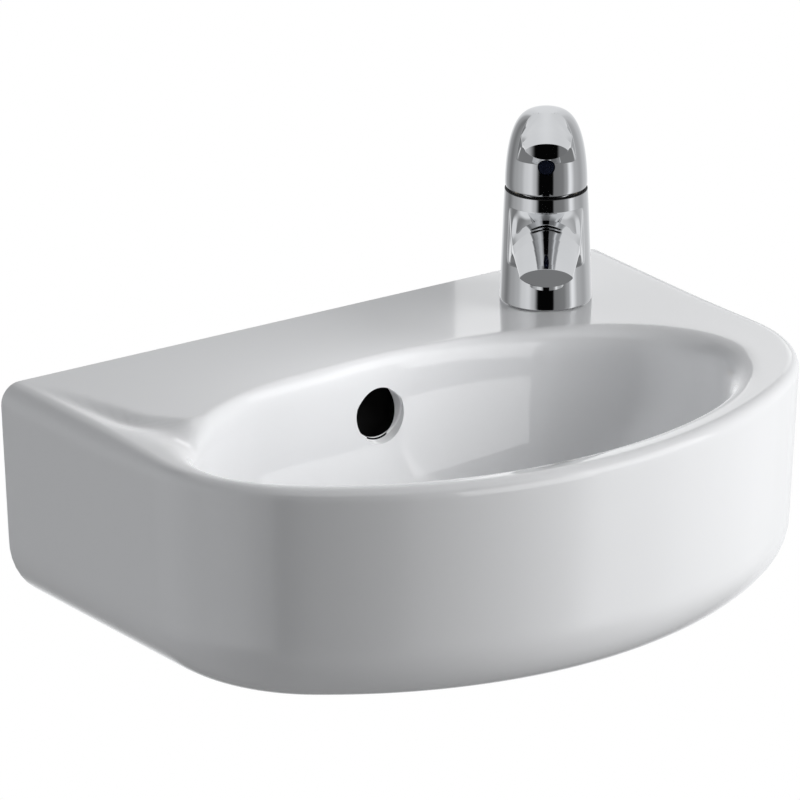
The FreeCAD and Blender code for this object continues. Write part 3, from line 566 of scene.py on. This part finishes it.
chrome = finish("polished_chrome", deep=(0.66, 0.67, 0.68), pale=(0.72, 0.725, 0.735), rough=(0.025, 0.05),
                broad=30, fine=500, bump=0.002 * MM, Metallic=1.0)
brass = finish("turned_brass", deep=(0.58, 0.42, 0.19), pale=(0.68, 0.51, 0.24), rough=(0.2, 0.3),
               broad=40, fine=1200, bump=0.004 * MM, Metallic=1.0)
rubber = finish("black_rubber", deep=(0.012, 0.012, 0.013), pale=(0.03, 0.03, 0.03), rough=(0.55, 0.75),
                broad=120, fine=1500, bump=0.04 * MM)
acetal = finish("white_acetal", deep=(0.62, 0.62, 0.60), pale=(0.72, 0.72, 0.70), rough=(0.3, 0.42),
                broad=90, fine=1400, bump=0.01 * MM)
steel = finish("spring_steel", deep=(0.35, 0.35, 0.36), pale=(0.55, 0.55, 0.56), rough=(0.2, 0.35),
               broad=200, fine=2500, bump=0.02 * MM, Metallic=1.0)


def dress(surface, *nodes):
    """Give solids that keep their shape a better surface."""
    for node in nodes:
        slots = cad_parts[node].data.materials
        slots.clear()
        slots.append(surface)


dress(chrome, "waste_body", "waste_plug")
dress(rubber, "flange_seal", "tail_seal", "plug_seal")
dress(brass, "back_nut", "plug_stem")
dress(acetal, "click_barrel")
dress(steel, "click_spring")

# Under the deck a horseshoe plate of zinc-plated steel with a rubber pad is pulled up
# against the china by a long nut on a stud that screws into the tap's foot.

dress(rubber, "base_seal", "clamp_pad")
dress(steel, "clamp_plate", "fixing_stud")
dress(brass, "clamp_nut")

# The tap's body and spout are one brass casting, ground and polished to flow into each
# other and then chromed. The outlet insert screws up into the underside of the spout.

# Painted shade: the body's top ring under the lever and the lever's inside are coloured near-black, dark
# metal standing for the shade in the thin gap between them.
seat_painted_shade = finish("gap_painted_shade", deep=(0.03, 0.03, 0.03), pale=(0.05, 0.05, 0.05), rough=(0.45, 0.6),
                   broad=120, fine=900, bump=0.01 * MM, Metallic=1.0)
tap_turn = radians(-35.3)
tap_place = Matrix.Translation((tap_x, tap_y, rim_level)) @ Matrix.Rotation(tap_turn, 4, "Z")
cage_sides = 36
round_out = 1.0051
skin_levels = 3
end_crease = 0.8
lens_power = 0.65


def turned_cage(profile):
    """A coarse turned shape, closed at both ends, for a smooth skin to follow."""
    cage = bmesh.new()
    radius, level = profile[0]
    bmesh.ops.create_circle(cage, segments=cage_sides, radius=radius * round_out, cap_ends=True)
    bmesh.ops.translate(cage, verts=cage.verts, vec=(0, 0, level))
    edge = cage.edges[:]
    for radius, level in profile[1:]:
        grown = bmesh.ops.extrude_edge_only(cage, edges=edge)["geom"]
        edge = [part for part in grown if isinstance(part, bmesh.types.BMEdge)]
        for vert in [part for part in grown if isinstance(part, bmesh.types.BMVert)]:
            out = vert.co.xy.normalized() * radius * round_out
            vert.co = (out.x, out.y, level)
    bmesh.ops.holes_fill(cage, edges=edge, sides=0)
    bmesh.ops.recalc_face_normals(cage, faces=cage.faces)
    return cage


def front_patch(cage, half_angle, levels, bore):
    """The faces outside a bore that a limb grows from, each corner knowing its place across and up."""
    spots = cage.verts.layers.float_vector.new("spots")
    patch = []
    for face in cage.faces:
        middle = face.calc_center_median()
        inside = levels[0] < middle.z < levels[-1] and abs(atan2(middle.x, -middle.y)) < half_angle
        if inside and middle.xy.length > bore:
            patch.append(face)
    for vert in {corner for face in patch for corner in face.verts}:
        row = min(range(len(levels)), key=lambda number: abs(levels[number] - vert.co.z))
        vert[spots] = (atan2(vert.co.x, -vert.co.y) / half_angle, 2 * row / (len(levels) - 1) - 1, 0)
    return patch, spots


def draw_out(cage, patch, spots, stations):
    """Pull a patch forwards through lens-shaped stations to a crisp end, a little crowned and undercut."""
    for reach, half_wide, top, bottom, edge, crown, undercut in stations:
        grown = bmesh.ops.extrude_face_region(cage, geom=patch)["geom"]
        patch = [part for part in grown if isinstance(part, bmesh.types.BMFace)]
        for vert in [part for part in grown if isinstance(part, bmesh.types.BMVert)]:
            side = sin(vert[spots].x * pi / 2)
            tall = max((top - bottom) / 2 * (1 - side * side) ** lens_power, edge / 2)
            level = (top + bottom) / 2 + vert[spots].y * tall
            vert.co = (half_wide * side, crown * side * side + undercut * (top - level) - reach, level)
    crease = cage.edges.layers.float.new("crease_edge")
    for line in {line for face in patch for line in face.edges}:
        if len([face for face in line.link_faces if face in patch]) == 1:
            line[crease] = end_crease
    bmesh.ops.recalc_face_normals(cage, faces=cage.faces)


def smooth_skin(label, cage, *surfaces):
    """The smooth skin of a cage, standing on the deck in the tap's place."""
    bmesh.ops.transform(cage, matrix=tap_place, verts=cage.verts)
    piece = add(label, cage, *surfaces)
    skin = piece.modifiers.new("skin", "SUBSURF")
    skin.levels = skin_levels
    skin.render_levels = skin_levels
    settle(piece)
    return piece


def tap_cutter(label, tool):
    """A cutter turned and set into the tap's place."""
    bmesh.ops.transform(tool, matrix=tap_place, verts=tool.verts)
    return add(label, tool, chrome)


column_profile = [(radius * MM, level * MM) for radius, level in (
    (24.6, 0), (25.2, 0.7), (25.15, 2.5), (24.9, 8), (24.6, 16), (24.3, 24), (24.0, 32), (23.7, 40),
    (23.4, 48), (23.1, 56), (22.85, 60.5), (22.75, 62.6), (22.7, 63.4), (22.1, 64), (19.7, 64),
    (19.05, 63.5), (19.05, 56))]
column_bore = 19.5 * MM
seat_level = 63.5 * MM
spout_spread = radians(60)
spout_rows = [level * MM for level in (24, 32, 40, 48, 56)]
spout_reach = 92 * MM
spout_steps = [(reach * MM, edge * MM) for reach, edge in (
    (30, 12), (40, 5), (52, 1.6), (64, 1.2), (76, 1.2), (86, 1.2), (91, 1.2), (92, 1.2))]
spout_half_width = (21.4 * MM, 14.2 * MM)
spout_top = (55.5 * MM, 48.3 * MM)
spout_bottom = (25 * MM, 36.8 * MM)
spout_flare_up = 8 * MM
spout_flare_down = 11 * MM
flare_power = 4
spout_end = (64 * MM, 86 * MM)
spout_crown = 0.8 * MM
spout_undercut = tan(radians(14))


def spout_stations():
    """The spout's cross-sections, flared where it leaves the body."""
    for reach, edge in spout_steps:
        share = reach / spout_reach
        flare = (1 - share) ** flare_power
        top = mix(*spout_top, share) + spout_flare_up * flare
        bottom = mix(*spout_bottom, share) - spout_flare_down * flare
        end = eased(reach, *spout_end)
        yield reach, mix(*spout_half_width, share), top, bottom, edge, spout_crown * end, spout_undercut * end


outlet_radius = 9.22 * MM
outlet_reach = 78 * MM
outlet_span = (20 * MM, 43.4 * MM)
inlet_radius = 5 * MM
inlet_x = 8.5 * MM
inlet_y = -5 * MM
inlet_span = (-10 * MM, 14 * MM)


def tap_bore(label, radius, x, y, low, high):
    """A round hole straight up into the tap."""
    return tap_cutter(label, rod(radius, (x, y, low), (x, y, high)))


column_cage = turned_cage(column_profile)
draw_out(column_cage, *front_patch(column_cage, spout_spread, spout_rows, column_bore), spout_stations())
# The top ring under the lever takes the painted shade of the gap.
for face in column_cage.faces:
    face.material_index = int(face.calc_center_median().z > seat_level)
tap_casting = smooth_skin("tap_casting", column_cage, chrome, seat_painted_shade)
carve(tap_casting, tap_bore("outlet_seat", outlet_radius, 0, -outlet_reach, *outlet_span),
      tap_bore("hot_bore", inlet_radius, -inlet_x, inlet_y, *inlet_span),
      tap_bore("cold_bore", inlet_radius, inlet_x, inlet_y, *inlet_span))
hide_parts("tap_body")
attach(tap_casting, "root")
dress(chrome, "outlet_shell")
dress(rubber, "outlet_washer")
dress(acetal, "outlet_screen")

# The cartridge in the body is moulded plastic with two ground ceramic discs. A brass nut
# holds it down, and a chromed collar covers it under the lever.

moulding = finish("cartridge_plastic", deep=(0.66, 0.66, 0.64), pale=(0.74, 0.74, 0.72), rough=(0.4, 0.55),
                  broad=80, fine=1200, bump=0.01 * MM)
disc_ceramic = finish("disc_ceramic", deep=(0.70, 0.66, 0.58), pale=(0.78, 0.74, 0.66), rough=(0.12, 0.2),
                      broad=60, fine=900, bump=0.005 * MM)
dress(moulding, "cartridge_base", "cartridge_case", "cartridge_carrier")
dress(disc_ceramic, "fixed_disc", "moving_disc")
dress(steel, "pivot_pin", "lever_grub_screw")
dress(brass, "cartridge_spindle", "cartridge_nut")
dress(chrome, "cartridge_collar")

# The lever is a chromed zinc casting that sits over the cartridge like a cap. A round
# plug pressed into its front hides the grub screw that holds it to the spindle.

index_dark = finish("index_dark", deep=(0.006, 0.008, 0.016), pale=(0.012, 0.015, 0.028), rough=(0.06, 0.12),
                    broad=150, fine=1500, bump=0.003 * MM, Coat_Weight=0.5, Coat_Roughness=0.04)
dress(index_dark, "index_plug")

dome_radius = 22.5 * MM
dome_base = 65.5 * MM
dome_height = 42.8 * MM
dome_power = 0.54
dome_turns = (3, 8.5, 17, 25.5, 34, 42.5, 51, 59.5, 68, 76, 83, 87)
skirt_profile = [(radius * MM, level * MM) for radius, level in (
    (19.4, 75.5), (19.4, 65.8), (19.8, 65.1), (22.0, 65.1), (22.45, 65.6))]
skirt_edge = 65.3 * MM
lever_spread = radians(50)
lever_row_turns = (25.5, 34, 42.5, 51, 59.5, 68, 76, 83)
lever_reach = 48 * MM
lever_steps = [(reach * MM, edge * MM) for reach, edge in (
    (25, 8), (32, 3), (39, 1.2), (44.5, 1), (47.3, 1), (48, 1))]
lever_half_width = (16.6 * MM, 11.4 * MM)
lever_top = (107.4 * MM, 104.6 * MM)
lever_bottom = (82 * MM, 95.2 * MM)
lever_end = (32 * MM, 44.5 * MM)
lever_crown = 1.8 * MM
lever_undercut = tan(radians(2))


def dome_point(turn):
    """Radius and level of the cap's outside at a turn up from its skirt, in degrees."""
    turn = radians(turn)
    return dome_radius * cos(turn) ** dome_power, dome_base + dome_height * sin(turn)


def lever_stations():
    """The lever's cross-sections, from the cap to its tip."""
    for reach, edge in lever_steps:
        share = reach / lever_reach
        top = mix(*lever_top, share ** 2)
        bottom = mix(*lever_bottom, share)
        end = eased(reach, *lever_end)
        yield reach, mix(*lever_half_width, share), top, bottom, edge, lever_crown * end, lever_undercut * end


relief_tilt = radians(26)
relief_level = 65.1 * MM
relief_half = 45 * MM
relief_run = 90 * MM
plug_seat_radius = 4.75 * MM
plug_seat_level = 82.2 * MM
plug_seat_span = (-40 * MM, -17.8 * MM)

lever_cage = turned_cage(skirt_profile + [dome_point(turn) for turn in dome_turns])
lever_rows = [dome_point(turn)[1] for turn in lever_row_turns]
draw_out(lever_cage, *front_patch(lever_cage, lever_spread, lever_rows, 0), lever_stations())
# The lever's inside, below its skirt edge, takes the painted shade of the gap.
for face in lever_cage.faces:
    face.material_index = int(face.calc_center_median().z < skirt_edge)
lever = smooth_skin("lever_casting", lever_cage, chrome, seat_painted_shade)
relief = slab((-relief_half, 0, -relief_half), (relief_half, relief_run, 0))
bmesh.ops.rotate(relief, verts=relief.verts, matrix=Matrix.Rotation(relief_tilt, 3, "X"))
bmesh.ops.translate(relief, verts=relief.verts, vec=(0, 0, relief_level))
plug_seat = rod(plug_seat_radius, *[(0, y, plug_seat_level) for y in plug_seat_span])
carve(lever, tap_cutter("back_relief", relief), tap_cutter("plug_seat", plug_seat))
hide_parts("tap_lever")
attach(lever, "lever")

# The studio is a pale floor well below the basin, a broad light on the right, a bright wall on
# the left, an unlit side towards the camera and a small light over the bowl. The metal mirrors
# walls of its own, the glaze mirrors three soft panels too, and a dim card shades the deck.

ground_level = -0.78
ground_half = 30
pale_floor = finish("pale_floor", deep=(0.50, 0.50, 0.50), pale=(0.54, 0.54, 0.54), rough=(0.6, 0.8),
                    broad=0.5, fine=30, bump=0.1 * MM)
floor_mesh = bmesh.new()
bmesh.ops.create_grid(floor_mesh, x_segments=1, y_segments=1, size=ground_half)
bmesh.ops.translate(floor_mesh, verts=floor_mesh.verts, vec=(0, 0, ground_level))
floor = add("floor", floor_mesh, pale_floor)
floor_tree = pale_floor.node_tree
lit = floor_tree.nodes.new("ShaderNodeEmission")
seen = floor_tree.nodes.new("ShaderNodeLightPath")
white_out = floor_tree.nodes.new("ShaderNodeMixShader")
floor_tree.links.new(seen.outputs["Is Camera Ray"], white_out.inputs["Fac"])
floor_tree.links.new(floor_tree.nodes["Principled BSDF"].outputs["BSDF"], white_out.inputs[1])
floor_tree.links.new(lit.outputs["Emission"], white_out.inputs[2])
through = floor_tree.nodes.new("ShaderNodeBsdfTransparent")
under = floor_tree.nodes.new("ShaderNodeNewGeometry")
one_sided = floor_tree.nodes.new("ShaderNodeMixShader")
floor_tree.links.new(under.outputs["Backfacing"], one_sided.inputs["Fac"])
floor_tree.links.new(white_out.outputs["Shader"], one_sided.inputs[1])
floor_tree.links.new(through.outputs["BSDF"], one_sided.inputs[2])
floor_tree.links.new(one_sided.outputs["Shader"], floor_tree.nodes["Material Output"].inputs["Surface"])
floor.visible_glossy = False
floor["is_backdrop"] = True

azimuth = radians(-34.75)
elevation = radians(19.94)
sky = bpy.data.worlds.new("studio")
bpy.context.scene.world = sky
sky.use_nodes = True
sky.cycles.sampling_method = "NONE"
room = sky.node_tree


def reading(kind, first, second, operation):
    """One step of sums on two sockets or plain values."""
    node = room.nodes.new(kind)
    node.operation = operation
    for number, value in enumerate((first, second)):
        if isinstance(value, bpy.types.NodeSocket):
            room.links.new(value, node.inputs[number])
        else:
            node.inputs[number].default_value = value
    return node.outputs["Value"]


cool_red = 0.99
cool_blue = 1.015


def grey(level):
    """A very slightly cool grey."""
    return level * cool_red, level, level * cool_blue, 1


def tones(label, value, low, high, stops):
    """Brightness along a reading, given as places and tones: both ends first, then what lies between."""
    scale = room.nodes.new("ShaderNodeMapRange")
    scale.inputs["From Min"].default_value = low
    scale.inputs["From Max"].default_value = high
    room.links.new(value, scale.inputs["Value"])
    ramp = room.nodes.new("ShaderNodeValToRGB")
    ramp.name = label
    ramp.color_ramp.interpolation = "EASE"
    first, last, *between = stops
    ramp.color_ramp.elements[0].color = grey(first[1])
    ramp.color_ramp.elements[1].color = grey(last[1])
    for where, tone in between:
        ramp.color_ramp.elements.new((where - low) / (high - low)).color = grey(tone)
    room.links.new(scale.outputs["Result"], ramp.inputs["Fac"])
    return ramp.outputs["Color"]


def colour_mix(factor, first, second):
    """Two colours or readings of colour, mixed by a third reading."""
    node = room.nodes.new("ShaderNodeMix")
    node.data_type = "RGBA"
    room.links.new(factor, node.inputs["Factor"])
    for socket, value in (("A", first), ("B", second)):
        if isinstance(value, bpy.types.NodeSocket):
            room.links.new(value, node.inputs[socket])
        else:
            node.inputs[socket].default_value = value
    return node.outputs["Result"]


compass = room.nodes.new("ShaderNodeTexCoord").outputs["Generated"]
across = reading("ShaderNodeVectorMath", compass, (cos(azimuth), sin(azimuth), 0), "DOT_PRODUCT")
ahead = reading("ShaderNodeVectorMath", compass, (sin(azimuth), -cos(azimuth), 0), "DOT_PRODUCT")
height = reading("ShaderNodeVectorMath", compass, (0, 0, 1), "DOT_PRODUCT")
bearing = reading("ShaderNodeMath", across, ahead, "ARCTAN2")
ground_edges = (sin(radians(-42)), sin(radians(-28)))


def surround(label, walls, roof_edges, above, below):
    """Walls whose tone changes with the bearing from the camera, between a plain roof and a plain ground."""
    low, high = [sin(radians(edge)) for edge in roof_edges]
    roof = tones(label + "_roof", height, 0.0, 1.0, ((0.0, 0.0), (1.0, 1.0), (low, 0.0), (high, 1.0)))
    ground = tones(label + "_ground", height, -1.0, 0.0,
                   ((-1.0, 1.0), (0.0, 0.0), (ground_edges[0], 1.0), (ground_edges[1], 0.0)))
    turned = tones(label, bearing, -pi, pi, [(radians(where), tone) for where, tone in walls])
    return colour_mix(ground, colour_mix(roof, turned, grey(above)), grey(below))


light_walls = ((-180, 0.22), (180, 0.22), (-130, 0.78), (-95, 1.26), (-65, 1.22), (-45, 0.84), (-25, 0.22),
               (-10, 0.03), (20, 0.02), (50, 0.05), (74, 0.20), (90, 0.30), (140, 0.35))
mirror_walls = ((-180, 0.90), (180, 0.90), (-160, 0.82), (-140, 0.42), (-118, 0.25), (-95, 0.45), (-76, 0.54),
                (-60, 0.78), (-45, 0.86), (-32, 0.6), (-19, 0.002), (17, 0.002), (22, 0.22), (45, 0.25),
                (58, 0.42), (70, 1.05), (88, 0.54), (108, 0.47), (135, 0.66), (160, 0.82))
light = surround("light", light_walls, roof_edges=(26, 48), above=0.12, below=0.2)
mirror = surround("mirror", mirror_walls, roof_edges=(46, 54), above=0.90, below=0.24)
path = room.nodes.new("ShaderNodeLightPath")
glow = room.nodes["Background"]
room.links.new(colour_mix(path.outputs["Is Glossy Ray"], light, mirror), glow.inputs["Color"])
backdrop = room.nodes.new("ShaderNodeBackground")
backdrop.inputs["Color"].default_value = (1, 1, 1, 1)
choice = room.nodes.new("ShaderNodeMixShader")
room.links.new(path.outputs["Is Camera Ray"], choice.inputs["Fac"])
room.links.new(glow.outputs["Background"], choice.inputs[1])
room.links.new(backdrop.outputs["Background"], choice.inputs[2])
room.links.new(choice.outputs["Shader"], room.nodes["World Output"].inputs["Surface"])


def soft_box(label, spot, aim, width, height, power):
    """A soft light that faces a point of the basin and isn't mirrored."""
    lamp = bpy.data.lights.new(label, "AREA")
    lamp.shape = "RECTANGLE"
    lamp.size = width
    lamp.size_y = height
    lamp.energy = power
    holder = bpy.data.objects.new(label, lamp)
    bpy.context.scene.collection.objects.link(holder)
    holder.location = spot
    holder.rotation_mode = "QUATERNION"
    holder.rotation_quaternion = (Vector(aim) - Vector(spot)).to_track_quat("-Z", "Y")
    holder.visible_glossy = False
    return holder


china = bpy.data.collections.new("china")
china.objects.link(basin)


def china_shine(label, **how):
    """A panel that lights nothing and is mirrored in the glaze alone."""
    holder = soft_box(label, **how)
    holder.visible_glossy = True
    holder.visible_diffuse = False
    holder.light_linking.receiver_collection = china


middle = (0, -0.14, 0.05)
soft_box("key_light", spot=(1.34, -1.47, 0.49), aim=middle, width=1.3, height=1.3, power=35.0)
bowl_light = soft_box("bowl_light", spot=(-0.01, -0.165, 0.15), aim=(-0.12, -0.165, 0),
                      width=0.12, height=0.12, power=0.075)
bowl_light.visible_camera = False
china_shine("key_shine", spot=(1.34, -1.47, 0.70), aim=middle, width=1.3, height=1.3, power=5)
china_shine("bowl_shine", spot=(0.384, -2.077, 0.239), aim=(0.03, -0.12, 0.03),
            width=1.22, height=1.46, power=7)
china_shine("back_shine", spot=(0.845, 0.631, 0.41), aim=(0.275, -0.191, 0.07),
            width=0.5, height=0.3, power=0.3)

shade_corners = ((-230, -27), (-215, -80), (-200, -140), (45, -140), (72, -69), (87, -32), (105, 0),
                 (127, 40), (-250, 40))
shade_soft_edge = 36 * MM
shade_shift = (0.322, 0.463, 0.205)
shade_glow = (0.05, 0.05, 0.051, 1)
shade_mesh = bmesh.new()
full = shade_mesh.verts.layers.float.new("full")
corners = [shade_mesh.verts.new((x * MM, y * MM, rim_level)) for x, y in shade_corners]
card = shade_mesh.faces.new(corners)
bmesh.ops.inset_region(shade_mesh, faces=[card], thickness=shade_soft_edge, use_even_offset=True)
for vert in shade_mesh.verts:
    vert[full] = 0.0 if vert.is_boundary else 1.0
bmesh.ops.translate(shade_mesh, verts=shade_mesh.verts, vec=shade_shift)
shade_grey = bpy.data.materials.new("shade_grey")
shade_grey.use_nodes = True
shade_skin = shade_grey.node_tree.nodes["Principled BSDF"]
shade_skin.inputs["Base Color"].default_value = (0, 0, 0, 1)
shade_skin.inputs["Emission Color"].default_value = shade_glow
shade_skin.inputs["Emission Strength"].default_value = 1.0
shade_edge = shade_grey.node_tree.nodes.new("ShaderNodeAttribute")
shade_edge.attribute_name = "full"
shade_grey.node_tree.links.new(shade_edge.outputs["Fac"], shade_skin.inputs["Alpha"])
shade = add("shade", shade_mesh, shade_grey)
shade.visible_camera = False
shade.visible_diffuse = False
shade.visible_shadow = False
shade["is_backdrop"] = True

camera_distance = 6.1993
camera_aim = Vector((-0.0434, -0.1500, 0.0741))
sensor_width = 36
lens_length = 524.3
sight_limit = 100
camera = bpy.data.objects.new("camera", bpy.data.cameras.new("camera"))
bpy.context.scene.collection.objects.link(camera)
back = Vector((sin(azimuth) * cos(elevation), -cos(azimuth) * cos(elevation), sin(elevation)))
camera.location = camera_aim + camera_distance * back
camera.rotation_mode = "QUATERNION"
camera.rotation_quaternion = (-back).to_track_quat("-Z", "Y")
camera.data.sensor_width = sensor_width
camera.data.lens = lens_length
camera.data.clip_end = sight_limit
bpy.context.scene.camera = camera
bpy.context.scene.view_settings.view_transform = "Standard"

boxes = [[list(corner) for corner in box] for box in (box_of_solids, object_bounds())]
